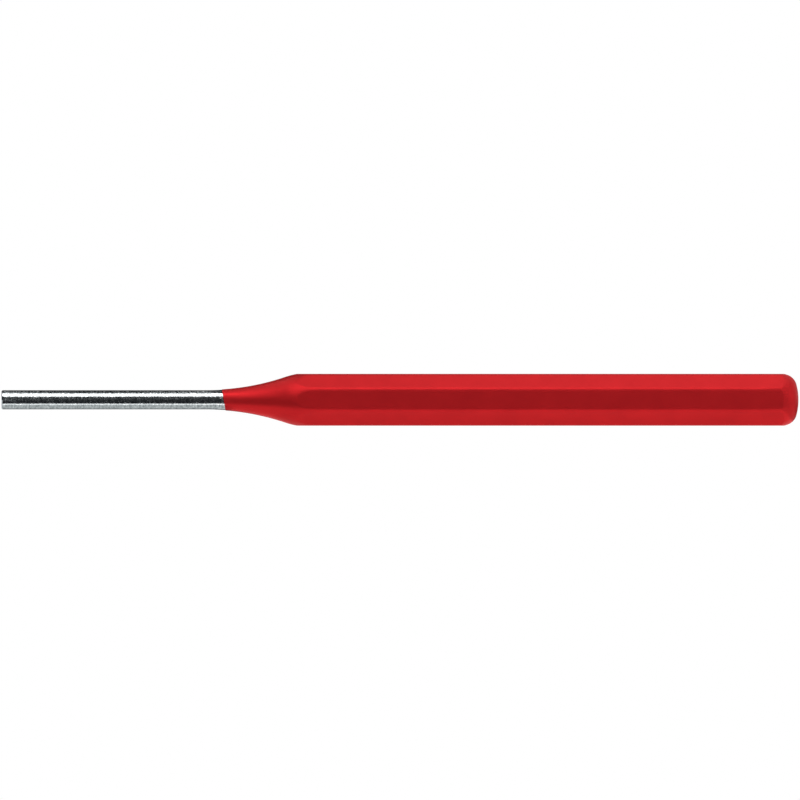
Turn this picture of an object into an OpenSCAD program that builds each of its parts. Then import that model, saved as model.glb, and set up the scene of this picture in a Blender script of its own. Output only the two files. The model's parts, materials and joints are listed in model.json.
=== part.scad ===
// Parallel pin punch with an octagonal shank and a lacquered grip.
// The tool lies along X on one flat of its shank: the tip's face is at X = 0, its centre is the
// origin, the struck head points along +X, and +Z is up. Millimetres.

/* [Pin] */
// Diameter of the parallel pin
pin_d = 3.6; // [2:0.1:6]
// Length of the parallel pin, from the tip to the start of the flare
pin_len = 38.6; // [20:0.1:60]
// Chamfer round the tip
tip_chamfer = 0.2; // [0.05:0.05:0.5]

/* [Flare] */
// Radius of the hollow flare that rises from the pin
flare_r = 46.4; // [30:0.1:70]
// Radius of the round shoulder where the flare runs out into the shank
shoulder_r = 16.7; // [8:0.1:25]

/* [Shank] */
// Length of the finished tool, from the tip to the top of the crown
overall_len = 150; // [120:1:200]
// Width of the bare steel across the flats
across_flats = 9.6; // [8:0.1:14]
// Depth by which the bar's sharp corners are eased
corner_ease = 0.1; // [0.05:0.01:0.2]

/* [Head] */
// Radius of the domed crown that the hammer strikes
crown_r = 11.2; // [8:0.1:20]
// Width of the sloped border round the crown, seen end on
head_border = 2.25; // [2:0.05:3.5]
// Radius of the rounded edge between the crown and the cone
head_round_r = 2.6; // [1.5:0.1:3]
// Slope of the short cone between the rounded edge and the shank
head_taper = 22.5; // [15:0.5:30]

/* [Lacquer] */
// Thickness of the lacquer film
lacquer_t = 0.08; // [0.04:0.01:0.2]
// Bare steel on the flare, from the end of the parallel pin to the lacquer's edge
bare_flare = 3.2; // [1:0.1:6]
// Lean of the lacquer's edge away from square, as the dip left it
lacquer_lean = 10; // [0:1:15]

/* [Hidden] */

steel_colour = "#8E9496";
lacquer_colour = "#C41A20";

// The bar is octagonal, so a corner stands half a side's angle away from a flat's middle.
SIDES = 8;
HALF_SIDE = 180 / SIDES;
// Straight steps that stand for one arc of the turned outline
ARC_STEPS = 16;
// How far the bar reaches past each end of the turned outline
OVERRUN = 5;
// Facets of a full turn when the model is shown as a mesh
$fn = 96;

pin_r = pin_d / 2;
steel_len = overall_len - lacquer_t;
edge_r = across_flats / 2 / cos(HALF_SIDE) - corner_ease;

// The flare and the shoulder are arcs that meet on a common tangent, at this angle to the axis.
flare_angle = acos(1 - (edge_r - pin_r) / (flare_r + shoulder_r));
flare_end = pin_len + (flare_r + shoulder_r) * sin(flare_angle);

// The crown and the rounded edge meet on a common tangent too. Angles are from the radial direction.
crown_angle = acos((edge_r - head_border) / crown_r);
crown_centre = [0, steel_len - crown_r];
head_round_centre = crown_centre + (crown_r - head_round_r) * direction(crown_angle);

lacquer_edge = pin_len + bare_flare;

// Unit vector at an angle from the radial direction towards the head: [radius, distance from the tip].
function direction(angle) = [cos(angle), sin(angle)];

// Points on an arc of the turned outline.
function arc(centre, radius, from, to) =
    [for (i = [0 : ARC_STEPS]) centre + radius * direction(from + (to - from) * i / ARC_STEPS)];

// Where the cone behind the head's rounded edge reaches a given radius.
function cone_foot(start, radius) =
    [radius, start[1] - (radius - start[0]) / tan(head_taper)];

// Half-section of the turned tool, as [radius, distance from the tip], grown outwards by a film.
function outline(film) =
    let (head_round = arc(head_round_centre, head_round_r + film, head_taper, crown_angle))
    concat(
        [[0, 0], [pin_r + film - tip_chamfer, 0], [pin_r + film, tip_chamfer]],
        arc([pin_r + flare_r, pin_len], flare_r - film, 180, 180 - flare_angle),
        arc([edge_r - shoulder_r, flare_end], shoulder_r + film, -flare_angle, 0),
        [cone_foot(head_round[0], edge_r + film)],
        head_round,
        arc(crown_centre, crown_r + film, crown_angle, 90)
    );

// The outline turned about the tool's axis.
module turned(film) {
    rotate([0, 90, 0])
        rotate_extrude()
            polygon(outline(film));
}

// Octagonal bar with flats facing +Z, -Z, +Y and -Y, longer than the tool.
module octagonal_bar(film) {
    translate([-OVERRUN, 0, 0])
        rotate([0, 90, 0])
            rotate([0, 0, HALF_SIDE])
                cylinder(
                    h = overall_len + 2 * OVERRUN,
                    r = (across_flats / 2 + film) / cos(HALF_SIDE),
                    $fn = SIDES
                );
}

// Octagonal bar turned down at both ends, grown outwards by a film.
module punch_shape(film) {
    intersection() {
        octagonal_bar(film);
        turned(film);
    }
}

// Everything on the tip's side of the lacquer's leaning edge.
module bare_side() {
    reach = 2 * overall_len;
    translate([lacquer_edge, 0, 0])
        rotate([0, -lacquer_lean, 0])
            translate([-reach, -reach / 2, -reach / 2])
                cube(reach);
}

// The forged, turned and ground steel: pin, flare, shank and head in one piece.
module steel_blank() {
    color(steel_colour)
        punch_shape(0);
}

// The red film that covers the shank, the head and the upper part of the flare.
module lacquer_coat() {
    color(lacquer_colour)
        difference() {
            punch_shape(lacquer_t);
            punch_shape(0);
            bare_side();
        }
}

steel_blank();
lacquer_coat();
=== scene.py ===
import json
import math

import bpy
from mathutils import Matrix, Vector


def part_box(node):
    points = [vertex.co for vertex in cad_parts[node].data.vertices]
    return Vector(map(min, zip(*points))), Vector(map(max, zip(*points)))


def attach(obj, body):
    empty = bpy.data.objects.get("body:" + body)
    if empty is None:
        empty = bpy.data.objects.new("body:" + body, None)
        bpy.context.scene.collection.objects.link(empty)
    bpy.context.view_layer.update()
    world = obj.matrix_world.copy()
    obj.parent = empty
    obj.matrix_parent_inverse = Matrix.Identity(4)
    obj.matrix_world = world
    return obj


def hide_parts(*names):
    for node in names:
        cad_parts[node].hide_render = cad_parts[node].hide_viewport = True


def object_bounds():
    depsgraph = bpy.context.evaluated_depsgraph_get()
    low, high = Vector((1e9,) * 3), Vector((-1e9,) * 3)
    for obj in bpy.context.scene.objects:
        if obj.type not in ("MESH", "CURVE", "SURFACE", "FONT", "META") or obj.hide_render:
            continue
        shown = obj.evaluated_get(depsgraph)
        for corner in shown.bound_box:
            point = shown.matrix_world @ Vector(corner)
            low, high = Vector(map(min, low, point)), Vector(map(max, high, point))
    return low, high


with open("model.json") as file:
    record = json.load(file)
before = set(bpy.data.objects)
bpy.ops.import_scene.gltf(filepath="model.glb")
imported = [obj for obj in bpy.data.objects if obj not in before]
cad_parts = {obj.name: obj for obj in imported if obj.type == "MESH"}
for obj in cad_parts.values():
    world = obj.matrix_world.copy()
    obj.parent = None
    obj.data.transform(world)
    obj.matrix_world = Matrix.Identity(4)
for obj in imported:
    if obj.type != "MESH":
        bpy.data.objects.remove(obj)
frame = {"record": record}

cad_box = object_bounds()

# Steel blank
# The tool under its paint: one octagonal bar of tool steel, turned down to a flare and a parallel pin,
# with its head turned to a crown. It is hardened, and the pin is ground bright between two wheels.
MM = 0.001
mounts = {mount["name"]: mount for mount in frame["record"]["mounts"]}
pin_mount = mounts["drive_pin"]
pin_middle = pin_mount["pos_m"][0]
pin_wall = pin_mount["dims"]["length_mm"] * MM
pin_r = pin_mount["dims"]["r_mm"] * MM
tip_chamfer = pin_middle - pin_wall / 2
pin_len = pin_middle + pin_wall / 2
steel_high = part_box("steel_blank")[1]
steel_len = steel_high.x
half_flats = steel_high.z

SIDES = 8
side_angle = 2 * math.pi / SIDES
corner_ease = 0.1 * MM
corner_r = corner_ease / (1 / math.cos(side_angle / 2) - 1)
edge_r = half_flats / math.cos(side_angle / 2) - corner_ease

# The flare and the round shoulder after it are arcs that meet on a common tangent.
flare_r = 46.4 * MM
shoulder_r = 16.7 * MM
flare_angle = math.acos(1 - (edge_r - pin_r) / (flare_r + shoulder_r))
flare_end = pin_len + (flare_r + shoulder_r) * math.sin(flare_angle)

# The head is a short cone, a rounded edge and a domed crown. Angles are from the radial direction.
crown_r = 11.2 * MM
head_border = 2.25 * MM
head_round_r = 2.6 * MM
head_taper = math.radians(22.5)
crown_angle = math.acos((edge_r - head_border) / crown_r)
crown_centre = steel_len - crown_r
head_round_x = crown_centre + (crown_r - head_round_r) * math.sin(crown_angle)
head_round_off = (crown_r - head_round_r) * math.cos(crown_angle)

# Angles of the points round the axis, closer together at the bar's corners than on its flats.
POINTS_PER_SIDE = 20
angles = [
    side_angle * (side + math.sin(math.pi * (step / POINTS_PER_SIDE - 0.5)) / 2)
    for side in range(SIDES)
    for step in range(POINTS_PER_SIDE)
]


def steps(start, end, count):
    """Even steps from start to end, both included."""
    return [start + (end - start) * i / count for i in range(count + 1)]


# Along the shank the turned outline stands clear of the bar's rounded corners by this much.
SHANK_SPARE = 0.1 * MM


def turned_r(x, film):
    """Radius of the turned outline, grown by a film, from the pin to the end of the shank."""
    meeting = pin_len + (flare_r - film) * math.sin(flare_angle)
    if x <= pin_len:
        return pin_r + film
    if x <= meeting:
        return pin_r + flare_r - math.sqrt((flare_r - film) ** 2 - (x - pin_len) ** 2)
    if x <= flare_end:
        return edge_r - shoulder_r + math.sqrt((shoulder_r + film) ** 2 - (x - flare_end) ** 2)
    return edge_r + film + SHANK_SPARE


# Steps along the head's cone, its rounded edge and its crown
CONE_STEPS = 24
HEAD_ROUND_STEPS = 18
CROWN_STEPS = 14


def head_outline(film):
    """Points (x, radius) of the head, from the foot of its cone to just short of the axis."""
    round_r = head_round_r + film
    rounding = [
        (head_round_x + round_r * math.sin(a), head_round_off + round_r * math.cos(a))
        for a in steps(head_taper, crown_angle, HEAD_ROUND_STEPS)
    ]
    crown = [
        (crown_centre + (crown_r + film) * math.sin(a), (crown_r + film) * math.cos(a))
        for a in steps(crown_angle, math.pi / 2, CROWN_STEPS)
    ]
    cone_x, cone_r = rounding[0]
    foot_r = edge_r + film
    foot_x = cone_x - (foot_r - cone_r) / math.tan(head_taper)
    cone = list(zip(steps(foot_x, cone_x, CONE_STEPS), steps(foot_r, cone_r, CONE_STEPS)))
    return cone[:-1] + rounding[:-1] + crown[1:-1]


def bar_r(angle, film, turned, easing):
    """Distance from the axis to the octagonal bar or the turned outline, whichever is nearer, with the
    bar's corners and the edge between the two rounded over."""
    from_flat = abs((angle + side_angle / 2) % side_angle - side_angle / 2)
    flat = half_flats + film
    bar = flat / math.cos(from_flat)
    if math.tan(from_flat) > (1 - corner_r / flat) * math.tan(side_angle / 2):
        centre = (flat - corner_r) / math.cos(side_angle / 2)
        from_corner = side_angle / 2 - from_flat
        reach = math.sqrt(corner_r**2 - (centre * math.sin(from_corner)) ** 2)
        bar = centre * math.cos(from_corner) + reach
    overlap = max(easing - abs(bar - turned), 0) / easing
    return min(bar, turned) - overlap**2 * easing / 4


def ring_at(x, radius_at):
    """Points round the axis at x, each at the radius that radius_at gives for its angle."""
    return [(x, r * math.cos(a), r * math.sin(a)) for a, r in ((a, radius_at(a)) for a in angles)]


# Grinding leaves the bar's edges crisp. The edge where the head cuts the flats is softer: its easing grows
# by a share of the depth of the head's outline below the corners.
STEEL_EASING = 0.06 * MM
HEAD_EASING_SHARE = 0.6


def head_rings(film):
    """Rings of points round the head, grown by a film."""
    rings = []
    for x, turned in head_outline(film):
        easing = STEEL_EASING + HEAD_EASING_SHARE * (edge_r + film - turned)
        rings.append(ring_at(x, lambda a: bar_r(a, film, turned, easing)))
    return rings


# Edges that bend more than this stay sharp.
SHARP_BEND = math.radians(32)


def lofted(name, first, rings, last):
    """A closed mesh object from the point first, through rings of points, to the point last."""
    around = len(angles)
    points = [first, *(point for ring in rings for point in ring), last]
    faces = [(0, 1 + (j + 1) % around, 1 + j) for j in range(around)]
    for start in range(1, 1 + around * (len(rings) - 1), around):
        for j in range(around):
            k = (j + 1) % around
            faces.append((start + j, start + k, start + around + k, start + around + j))
    end = len(points) - 1
    faces += [(end, end - around + j, end - around + (j + 1) % around) for j in range(around)]
    mesh = bpy.data.meshes.new(name)
    mesh.from_pydata(points, [], faces)
    mesh.shade_smooth()
    mesh.set_sharp_from_angle(angle=SHARP_BEND)
    piece = bpy.data.objects.new(name, mesh)
    bpy.context.scene.collection.objects.link(piece)
    return piece


# Steps along the tip's face, its broken edge, the pin, the flare and the shank
TIP_STEPS = 12
CHAMFER_STEPS = 3
PIN_STEPS = 20
FLARE_STEPS = 90
SHANK_STEPS = 12
tip_rings = [
    ring_at(0, lambda a, r=r: r) for r in steps(0, pin_r - tip_chamfer, TIP_STEPS)[1:]
]
chamfer_rings = [
    ring_at(depth, lambda a, depth=depth: pin_r - tip_chamfer + depth)
    for depth in steps(0, tip_chamfer, CHAMFER_STEPS)[1:]
]
bar_xs = [
    *steps(tip_chamfer, pin_len, PIN_STEPS)[1:],
    *steps(pin_len, flare_end, FLARE_STEPS)[1:],
    *steps(flare_end, head_outline(0)[0][0], SHANK_STEPS)[1:-1],
]
bar_rings = [
    ring_at(x, lambda a, x=x: bar_r(a, 0, turned_r(x, 0), STEEL_EASING)) for x in bar_xs
]
steel = lofted(
    "steel_blank_ground",
    (0, 0, 0),
    tip_rings + chamfer_rings + bar_rings + head_rings(0),
    (steel_len, 0, 0),
)


def linear(hex_colour):
    """An sRGB hex colour as linear red, green, blue and alpha."""
    parts = [int(hex_colour[i:i + 2], 16) / 255 for i in (1, 3, 5)]
    return [c / 12.92 if c <= 0.04045 else ((c + 0.055) / 1.055) ** 2.4 for c in parts] + [1]


def add_node(tree, kind, settings=None, links=None):
    """Adds a node: settings gives its properties and input values, links the sockets that feed it."""
    node = tree.nodes.new(kind)
    for name, value in (settings or {}).items():
        if isinstance(name, str) and hasattr(node, name):
            setattr(node, name, value)
        else:
            node.inputs[name].default_value = value
    for name, socket in (links or {}).items():
        tree.links.new(socket, node.inputs[name])
    return node


def new_material(name):
    """An empty node material, its node tree and its output node."""
    material = bpy.data.materials.new(name)
    material.use_nodes = True
    material.node_tree.nodes.clear()
    output = add_node(material.node_tree, "ShaderNodeOutputMaterial")
    return material, material.node_tree, output


# Centreless-ground tool steel. Fine marks run round the axis, so the eye gets sharp light and dark bands
# along the pin with slightly ragged edges, and rings on the tip's face. Marks and a fine speckle change its
# tone, its gloss and its relief. Real marks are about 0.02 mm apart: they are drawn 0.3 mm apart, so that
# they show.
MARK_PITCH = 0.3 * MM
MARK_LENGTH = 1.2 * MM
MARK_DEPTH = 0.012 * MM
SPECKLE = 0.35 * MM
SPECKLE_DEPTH = 0.007 * MM
STEEL_DULL = "#949A9C"
STEEL_BRIGHT = "#F0F4F5"
# Most of the sum of marks and speckle lies in this range.
GRAIN_RANGE = {"From Min": 0.7, "From Max": 1.3}
ground_steel, tree, output = new_material("centreless_ground_tool_steel")
place = add_node(tree, "ShaderNodeTexCoord")
axes = add_node(tree, "ShaderNodeSeparateXYZ", links={0: place.outputs["Object"]})
across = add_node(
    tree,
    "ShaderNodeCombineXYZ",
    links={"Y": axes.outputs["Y"], "Z": axes.outputs["Z"]},
)
off_axis = add_node(
    tree,
    "ShaderNodeVectorMath",
    {"operation": "LENGTH"},
    {0: across.outputs[0]},
)
along = add_node(
    tree,
    "ShaderNodeMath",
    {"operation": "ADD"},
    {0: axes.outputs["X"], 1: off_axis.outputs["Value"]},
)
ring_place = add_node(
    tree,
    "ShaderNodeCombineXYZ",
    links={"X": along.outputs[0], "Y": axes.outputs["Y"], "Z": axes.outputs["Z"]},
)
mark_place = add_node(
    tree,
    "ShaderNodeVectorMath",
    {"operation": "MULTIPLY", 1: (1 / MARK_PITCH, 1 / MARK_LENGTH, 1 / MARK_LENGTH)},
    {0: ring_place.outputs[0]},
)
marks = add_node(
    tree,
    "ShaderNodeTexNoise",
    {"Scale": 1.0, "Detail": 3.0, "Roughness": 0.6},
    {"Vector": mark_place.outputs[0]},
)
speckle = add_node(
    tree,
    "ShaderNodeTexNoise",
    {"Scale": 1 / SPECKLE, "Detail": 2.0},
    {"Vector": place.outputs["Object"]},
)
marks_and_speckle = add_node(
    tree,
    "ShaderNodeMath",
    {"operation": "ADD"},
    {0: marks.outputs["Fac"], 1: speckle.outputs["Fac"]},
)
grain = add_node(
    tree,
    "ShaderNodeMapRange",
    GRAIN_RANGE,
    {"Value": marks_and_speckle.outputs[0]},
)
# On a Mix node, inputs 6 and 7 are the two colours, and output 2 is what they mix to.
tone = add_node(
    tree,
    "ShaderNodeMix",
    {"data_type": "RGBA", 6: linear(STEEL_DULL), 7: linear(STEEL_BRIGHT)},
    {0: grain.outputs[0]},
)
gloss = add_node(
    tree,
    "ShaderNodeMapRange",
    {**GRAIN_RANGE, "To Min": 0.12, "To Max": 0.22},
    {"Value": marks_and_speckle.outputs[0]},
)
mark_relief = add_node(
    tree,
    "ShaderNodeBump",
    {"Strength": 1.0, "Distance": MARK_DEPTH},
    {"Height": marks.outputs["Fac"]},
)
relief = add_node(
    tree,
    "ShaderNodeBump",
    {"Strength": 1.0, "Distance": SPECKLE_DEPTH},
    {"Height": speckle.outputs["Fac"], "Normal": mark_relief.outputs[0]},
)
round_the_axis = add_node(tree, "ShaderNodeTangent", {"direction_type": "RADIAL", "axis": "X"})
surface = add_node(
    tree,
    "ShaderNodeBsdfPrincipled",
    {"Metallic": 1.0, "Anisotropic": 0.4},
    {
        "Base Color": tone.outputs[2],
        "Roughness": gloss.outputs[0],
        "Normal": relief.outputs[0],
        "Tangent": round_the_axis.outputs[0],
    },
)
tree.links.new(surface.outputs[0], output.inputs["Surface"])
steel.data.materials.append(ground_steel)
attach(steel, "root")
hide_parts("steel_blank")

# Lacquer coat
# The red film on the shank, the head and most of the flare: a thin translucent lacquer, put on by dipping
# the head end and left to drain. Its edge on the flare runs a little aslant and is rounded over.
coat_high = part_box("lacquer_coat")[1]
film_t = coat_high.z - half_flats
bare_flare = 3.2 * MM
lacquer_edge = pin_len + bare_flare
lacquer_lean = math.radians(10)
# The film rises from nothing to its full thickness over the lip, and its rings straighten over the fade.
LIP = 0.15 * MM
LEAN_FADE = 8 * MM
COAT_EASING = 0.07 * MM


def film_at(from_edge):
    """Thickness of the film at a distance from its edge, where its lip is rounded over."""
    return film_t * math.sqrt(1 - max(0, 1 - from_edge / LIP) ** 2)


def coat_ring(from_edge, film, easing):
    """Points round the film at a distance from its edge, on rings that lean less further from it."""
    fade = max(0, 1 - from_edge / LEAN_FADE)
    level_x = lacquer_edge + from_edge
    ring = []
    for a in angles:
        height = turned_r(level_x, film) * math.sin(a)
        x = level_x - math.tan(lacquer_lean) * height * fade
        r = bar_r(a, film, turned_r(x, film), easing)
        ring.append((x, r * math.cos(a), r * math.sin(a)))
    return ring


# Steps along the film's lip, its leaning part, the rest of the flare and the shank
LIP_STEPS = 8
LEAN_STEPS = 30
COAT_FLARE_STEPS = 60
COAT_SHANK_STEPS = 24
flare_film = flare_end - lacquer_edge
shank_film = head_outline(film_t)[0][0] - lacquer_edge
film_steps = [
    *(LIP * (1 - math.cos(t)) for t in steps(0, math.pi / 2, LIP_STEPS)),
    *steps(LIP, LEAN_FADE, LEAN_STEPS)[1:],
    *steps(LEAN_FADE, flare_film, COAT_FLARE_STEPS)[1:],
    *steps(flare_film, shank_film, COAT_SHANK_STEPS)[1:-1],
]
outside = [coat_ring(d, film_at(d), COAT_EASING) for d in film_steps] + head_rings(film_t)
inside = [coat_ring(d, 0, STEEL_EASING) for d in film_steps[1:-1]] + head_rings(0)
coat = lofted(
    "lacquer_coat_dipped",
    (steel_len, 0, 0),
    inside[::-1] + outside,
    (coat_high.x, 0, 0),
)

# Dipped red lacquer over bright steel. The steel shines red through the thin film, which its metallic share
# stands for, so the eye gets a saturated red with a satin gloss. Drained lacquer keeps a faint orange peel
# about 1 mm across, a slow change of depth from thick to thin, and fine dust nibs that break its shine.
PEEL = 1.1 * MM
PEEL_DEPTH = 0.003 * MM
DEPTH_CHANGE = 5 * MM
NIB = 0.3 * MM
NIB_DEPTH = 0.001 * MM
THICK_RED = "#A81D21"
THIN_RED = "#BC2226"
RED_SHINE = "#FF1818"
red_lacquer, tree, output = new_material("dipped_red_lacquer")
place = add_node(tree, "ShaderNodeTexCoord")
depth = add_node(
    tree,
    "ShaderNodeTexNoise",
    {"Scale": 1 / DEPTH_CHANGE, "Detail": 3.0},
    {"Vector": place.outputs["Object"]},
)
red = add_node(
    tree,
    "ShaderNodeMix",
    {"data_type": "RGBA", 6: linear(THICK_RED), 7: linear(THIN_RED)},
    {0: depth.outputs["Fac"]},
)
peel = add_node(
    tree,
    "ShaderNodeTexNoise",
    {"Scale": 1 / PEEL, "Detail": 1.0},
    {"Vector": place.outputs["Object"]},
)
nibs = add_node(
    tree,
    "ShaderNodeTexNoise",
    {"Scale": 1 / NIB, "Detail": 2.0},
    {"Vector": place.outputs["Object"]},
)
satin = add_node(
    tree,
    "ShaderNodeMapRange",
    {"From Min": 0.3, "From Max": 0.7, "To Min": 0.36, "To Max": 0.44},
    {"Value": nibs.outputs["Fac"]},
)
peel_relief = add_node(
    tree,
    "ShaderNodeBump",
    {"Strength": 1.0, "Distance": PEEL_DEPTH},
    {"Height": peel.outputs["Fac"]},
)
relief = add_node(
    tree,
    "ShaderNodeBump",
    {"Strength": 1.0, "Distance": NIB_DEPTH},
    {"Height": nibs.outputs["Fac"], "Normal": peel_relief.outputs[0]},
)
surface = add_node(
    tree,
    "ShaderNodeBsdfPrincipled",
    {"Metallic": 0.41, "Specular IOR Level": 0.2, "Specular Tint": linear(RED_SHINE)},
    {
        "Base Color": red.outputs[2],
        "Roughness": satin.outputs[0],
        "Normal": relief.outputs[0],
    },
)
tree.links.new(surface.outputs[0], output.inputs["Surface"])
coat.data.materials.append(red_lacquer)
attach(coat, "root")
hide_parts("lacquer_coat")

# Studio
# The tool lies on a pale table in front of a white backdrop. Soft boxes light its colours. What it mirrors
# is the backdrop, the table and two bright panels, less what black flags and grey papers hide of them.
TABLE = 4.0
WHITE = "#FFFFFF"
rest_z = mounts["rest_flat"]["pos_m"][2]
tool_len = cad_box[1].x
tool_middle = Vector((tool_len / 2, 0, 0))


def sheet(name, corners, material):
    """A flat stage sheet between four corners."""
    mesh = bpy.data.meshes.new(name)
    mesh.from_pydata(corners, [], [(0, 1, 2, 3)])
    mesh.materials.append(material)
    piece = bpy.data.objects.new(name, mesh)
    bpy.context.scene.collection.objects.link(piece)
    return piece


def level_corners(left, right, front, back, z):
    """Corners of a level sheet."""
    return [(left, front, z), (right, front, z), (right, back, z), (left, back, z)]


# Opal acrylic, matt and white. It keeps the tool's shadow. It glows a little, and more for the camera and
# in reflections, so that it looks white in both and adds little light to the tool.
OPAL = "#E6E6E6"
OPAL_GLOW = 0.28
OPAL_SEEN = 0.18
OPAL_MIRRORED = 0.76
opal_acrylic, tree, output = new_material("opal_acrylic")
path = add_node(tree, "ShaderNodeLightPath")
seen_glow = add_node(
    tree,
    "ShaderNodeMath",
    {"operation": "MULTIPLY_ADD", 1: OPAL_SEEN, 2: OPAL_GLOW},
    {0: path.outputs["Is Camera Ray"]},
)
glow = add_node(
    tree,
    "ShaderNodeMath",
    {"operation": "MULTIPLY_ADD", 1: OPAL_MIRRORED},
    {0: path.outputs["Is Glossy Ray"], 2: seen_glow.outputs[0]},
)
surface = add_node(
    tree,
    "ShaderNodeBsdfPrincipled",
    {
        "Base Color": linear(OPAL),
        "Roughness": 0.8,
        "Specular IOR Level": 0.0,
        "Emission Color": linear(WHITE),
    },
    {"Emission Strength": glow.outputs[0]},
)
tree.links.new(surface.outputs[0], output.inputs["Surface"])
sheet(
    "table",
    level_corners(tool_middle.x - TABLE / 2, tool_middle.x + TABLE / 2, -TABLE / 2, TABLE / 2, rest_z),
    opal_acrylic,
)

# The flags are black velvet, from which very little light comes back, and the papers are matt and grey. A
# glow gives each an even tone from every side. The grey sheet under the pin is a painted shadow: in
# reflections it darkens the table where the tool's own shadow falls.
MATT_BLACK = "#101010"
flag_tones = {
    "black_velvet": {"Emission Color": linear("#E6F0FF"), "Emission Strength": 0.02},
    "grey_paper": {"Emission Color": linear("#F6FBFB"), "Emission Strength": 0.62},
}
flag_materials = {}
for name, tone_settings in flag_tones.items():
    flag_materials[name], tree, output = new_material(name)
    surface = add_node(
        tree,
        "ShaderNodeBsdfPrincipled",
        {"Base Color": linear(MATT_BLACK), "Roughness": 1.0, "Specular IOR Level": 0.0, **tone_settings},
    )
    tree.links.new(surface.outputs[0], output.inputs["Surface"])

# How far the sheets reach from the tool's axis, to the sides and up, and along it from the tip's face
FLAG_FAR = 0.3
FLAG_END = 0.6


def rise(distance, degrees):
    """How far something at a distance stands above the tool's axis, seen at an angle above the level."""
    return distance * math.tan(math.radians(degrees))


def upright_corners(left, right, y, degrees):
    """Corners of a sheet that stands on the table along the tool, as high as an angle at its axis."""
    top = rise(abs(y), degrees)
    return [(left, y, rest_z), (right, y, rest_z), (right, y, top), (left, y, top)]


def end_corners(x, front, back, degrees):
    """Corners of a sheet that stands on the table past one end of the tool, as high as an angle there."""
    top = rise(max(-x, x - tool_len), degrees)
    return [(x, front, rest_z), (x, back, rest_z), (x, back, top), (x, front, top)]


# Borders along the tool between the upright sheets
low_flag_x = -140 * MM
tip_side_x = -45 * MM
shank_x = 60 * MM
# Borders of the two flags that hang over the pin and the air before its tip
hung_left_x = -50 * MM
hung_middle_x = -10 * MM
hung_right_x = 48 * MM
pin_hung_front = -70 * MM
tip_hung_front = 200 * MM
# Borders of the sheets that lie on the table. They leave a pale strip along the tool, and under the pin a
# grey sheet covers most of it: a painted shadow, seen only in reflections, standing for the tool's shadow.
table_flag_z = rest_z + 0.1 * MM
tip_border_x = -1 * MM
pin_flag_x = 38 * MM
pin_shadow_x = 43 * MM
head_table_x = 149.5 * MM
shank_strip_front = -10.2 * MM
pin_strip_front = -5.1 * MM
pin_shadow_front = -3.6 * MM
strip_back = 2.8 * MM
flags = {
    "shank_flag": upright_corners(shank_x, FLAG_END, -FLAG_FAR, degrees=52),
    "pin_front_flag": upright_corners(tip_side_x, shank_x, -FLAG_FAR, degrees=45),
    "low_front_flag": upright_corners(low_flag_x, tip_side_x, -FLAG_FAR, degrees=20),
    "tip_front_flag": upright_corners(-FLAG_END, low_flag_x, -FLAG_FAR, degrees=50),
    "tip_flag": end_corners(-FLAG_END, -FLAG_FAR, FLAG_FAR, degrees=40),
    "pin_back_flag": upright_corners(tip_side_x, shank_x, FLAG_FAR, degrees=65),
    "tip_back_flag": upright_corners(-FLAG_END, tip_side_x, FLAG_FAR, degrees=45),
    "pin_top_flag": level_corners(hung_middle_x, hung_right_x, pin_hung_front, FLAG_FAR, FLAG_FAR),
    "tip_top_flag": level_corners(hung_left_x, hung_middle_x, tip_hung_front, FLAG_FAR, FLAG_FAR),
    "pin_table_flag": level_corners(tip_border_x, pin_flag_x, -FLAG_FAR, pin_strip_front, table_flag_z),
    "flare_table_flag": [
        (pin_flag_x, -FLAG_FAR, table_flag_z),
        (shank_x, -FLAG_FAR, table_flag_z),
        (shank_x, shank_strip_front, table_flag_z),
        (pin_flag_x, pin_strip_front, table_flag_z),
    ],
    "shank_table_flag": level_corners(shank_x, FLAG_END, -FLAG_FAR, shank_strip_front, table_flag_z),
    "back_table_flag": level_corners(tip_border_x, FLAG_END, strip_back, FLAG_FAR, table_flag_z),
}
papers = {
    # Painted shadow: a grey sheet under the pin, seen only in reflections, darkens the table where the
    # tool's own shadow falls.
    "pin_painted_shadow": level_corners(tip_border_x, pin_shadow_x, pin_shadow_front, strip_back, table_flag_z),
    "tip_table_paper": level_corners(-FLAG_END, tip_border_x, -FLAG_FAR, FLAG_FAR, table_flag_z),
    "head_paper": end_corners(FLAG_END, -FLAG_END, FLAG_END, degrees=47),
    "head_table_paper": level_corners(head_table_x, FLAG_END, shank_strip_front, strip_back, table_flag_z),
    "shank_back_paper": upright_corners(shank_x, FLAG_END, FLAG_FAR, degrees=65),
}
for material_name, sheets in (("black_velvet", flags), ("grey_paper", papers)):
    for name, corners in sheets.items():
        flag = sheet(name, corners, flag_materials[material_name])
        flag.visible_camera = False
        flag.visible_diffuse = False
        flag.visible_shadow = False


def add_lamp(name, length, width, radiance, height, swing, distance):
    """A soft rectangular lamp of a given radiance, turned to the tool's middle from a height above the
    level and a swing to the right of the camera's side, both in degrees."""
    light = bpy.data.lights.new(name, "AREA")
    light.shape = "RECTANGLE"
    light.size = length
    light.size_y = width
    light.energy = radiance * math.pi * length * width
    up = math.radians(height)
    side = math.radians(swing)
    towards = Vector((math.sin(side) * math.cos(up), -math.cos(side) * math.cos(up), math.sin(up)))
    lamp = bpy.data.objects.new(name, light)
    lamp.location = tool_middle + distance * towards
    lamp.rotation_euler = towards.to_track_quat("Z", "Y").to_euler()
    bpy.context.scene.collection.objects.link(lamp)
    return lamp


# The two panels are only mirrored. The one over the tool reaches further past the tip than past the head.
PANEL_SHIFT = 0.11
white_panel = add_lamp(
    "white_panel", length=1.12, width=1.65, radiance=0.88, height=76, swing=0, distance=0.8
)
white_panel.location.x -= PANEL_SHIFT
tip_panel = add_lamp(
    "tip_panel", length=0.4, width=1.1, radiance=3.2, height=46, swing=-17, distance=1.0
)
for panel in (white_panel, tip_panel):
    panel.visible_diffuse = False

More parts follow.
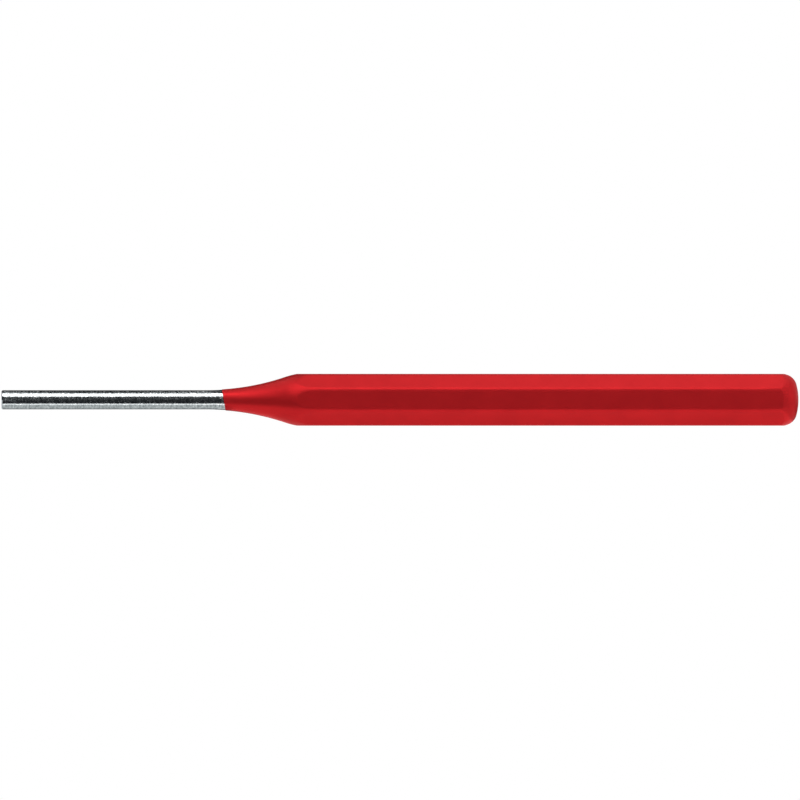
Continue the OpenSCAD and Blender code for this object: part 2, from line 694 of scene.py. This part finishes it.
# The soft boxes only light the colours: one low on the head's side, one above and one behind.
side_box = add_lamp(
    "side_box", length=1.5, width=1.2, radiance=5.0, height=8, swing=50, distance=1.5
)
top_box = add_lamp(
    "top_box", length=1.2, width=1.2, radiance=1.0, height=90, swing=0, distance=1.0
)
back_box = add_lamp(
    "back_box", length=1.2, width=0.8, radiance=3.5, height=35, swing=180, distance=1.0
)
for box in (side_box, top_box, back_box):
    box.visible_glossy = False

# White backdrop for the camera, for reflections and through glass, and a dimmer room for all other light.
BACKDROP_LIGHT = 1.0
ROOM_LIGHT = 0.08
world = bpy.data.worlds.new("white_backdrop")
bpy.context.scene.world = world
world.use_nodes = True
tree = world.node_tree
tree.nodes.clear()
path = add_node(tree, "ShaderNodeLightPath")
seen_or_mirrored = add_node(
    tree,
    "ShaderNodeMath",
    {"operation": "MAXIMUM"},
    {0: path.outputs["Is Camera Ray"], 1: path.outputs["Is Glossy Ray"]},
)
shown = add_node(
    tree,
    "ShaderNodeMath",
    {"operation": "MAXIMUM"},
    {0: seen_or_mirrored.outputs[0], 1: path.outputs["Is Transmission Ray"]},
)
room = add_node(tree, "ShaderNodeBackground", {"Color": linear(WHITE), "Strength": ROOM_LIGHT})
backdrop = add_node(tree, "ShaderNodeBackground", {"Color": linear(WHITE), "Strength": BACKDROP_LIGHT})
chosen = add_node(
    tree,
    "ShaderNodeMixShader",
    links={0: shown.outputs[0], 1: room.outputs[0], 2: backdrop.outputs[0]},
)
add_node(tree, "ShaderNodeOutputWorld", links={"Surface": chosen.outputs[0]})

# Camera
# The photograph is square on to one flat and shows no perspective, so the view is orthographic. The tip,
# the crown and the axis fall on the photograph's own pixels.
FRAME_PX = 800
TIP_PX = 1.53
CROWN_PX = 798.46
AXIS_PX = 399.78
CAMERA_FAR = 1.0
pixel = tool_len / (CROWN_PX - TIP_PX)
view = bpy.data.cameras.new("camera")
view.type = "ORTHO"
view.ortho_scale = FRAME_PX * pixel
camera = bpy.data.objects.new("camera", view)
camera.location = (
    (FRAME_PX / 2 - TIP_PX) * pixel,
    -CAMERA_FAR,
    (AXIS_PX - FRAME_PX / 2) * pixel,
)
camera.rotation_euler = (math.pi / 2, 0, 0)
bpy.context.scene.collection.objects.link(camera)
bpy.context.scene.camera = camera
bpy.context.scene.view_settings.view_transform = "Standard"
